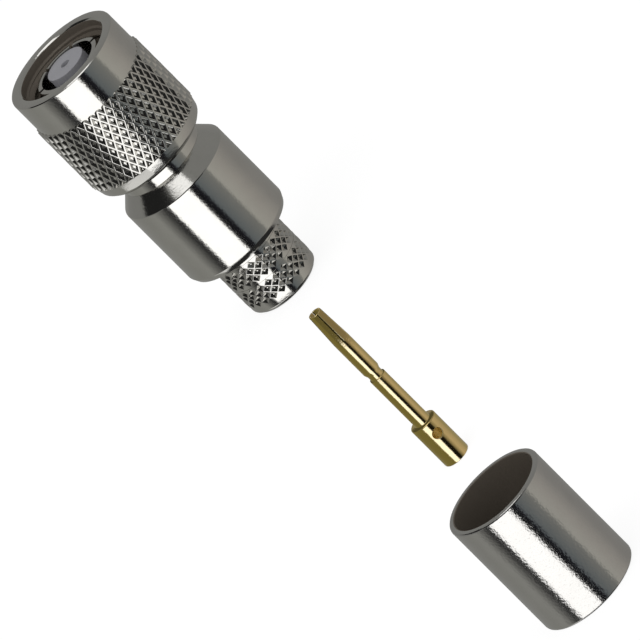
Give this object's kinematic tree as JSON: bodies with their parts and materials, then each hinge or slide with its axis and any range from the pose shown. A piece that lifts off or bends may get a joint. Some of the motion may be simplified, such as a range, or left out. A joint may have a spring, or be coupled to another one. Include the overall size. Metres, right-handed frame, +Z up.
{
  "type": "tnc connector",
  "caption": "Round coaxial cable plug with a knurled screw coupling nut, slotted sleeve and knurled crimp stem, with its loose socket contact and crimp ferrule.",
  "frame": {"origin": "centre of the cable end of the crimp stem, where the plug stands", "axes": "+Z up along the plug's axis towards its mouth; the loose contact and ferrule stand in a row along -Y"},
  "size_m": [0.0148, 0.1309, 0.0369],
  "materials": {
    "nickel": "nickel plated brass, polished, fine turning marks",
    "nickel_ferrule": "nickel plated copper, drawn and tumbled",
    "gold_plate": "gold plated bronze, bright",
    "spring_bronze": "bare spring bronze, satin",
    "white_plastic": "turned white fluoroplastic, waxy",
    "red_rubber": "moulded silicone rubber, matt"
  },
  "bodies": {
    "connector": {"retaining_ring": "spring_bronze", "gasket": "red_rubber", "outer_contact": "nickel", "body": "nickel", "crimp_stem": "nickel", "front_insulator": "white_plastic", "rear_insulator": "white_plastic", "centre_contact": "gold_plate", "crimp_ferrule": "nickel_ferrule"},
    "nut": {"coupling_nut": "nickel"}
  },
  "joints": [
    {"name": "nut_spin", "type": "hinge", "parent": "connector", "child": "nut", "pos_m": [0, 0, 0.0293], "axis": [0, 0, 1], "continuous": true}
  ]
}
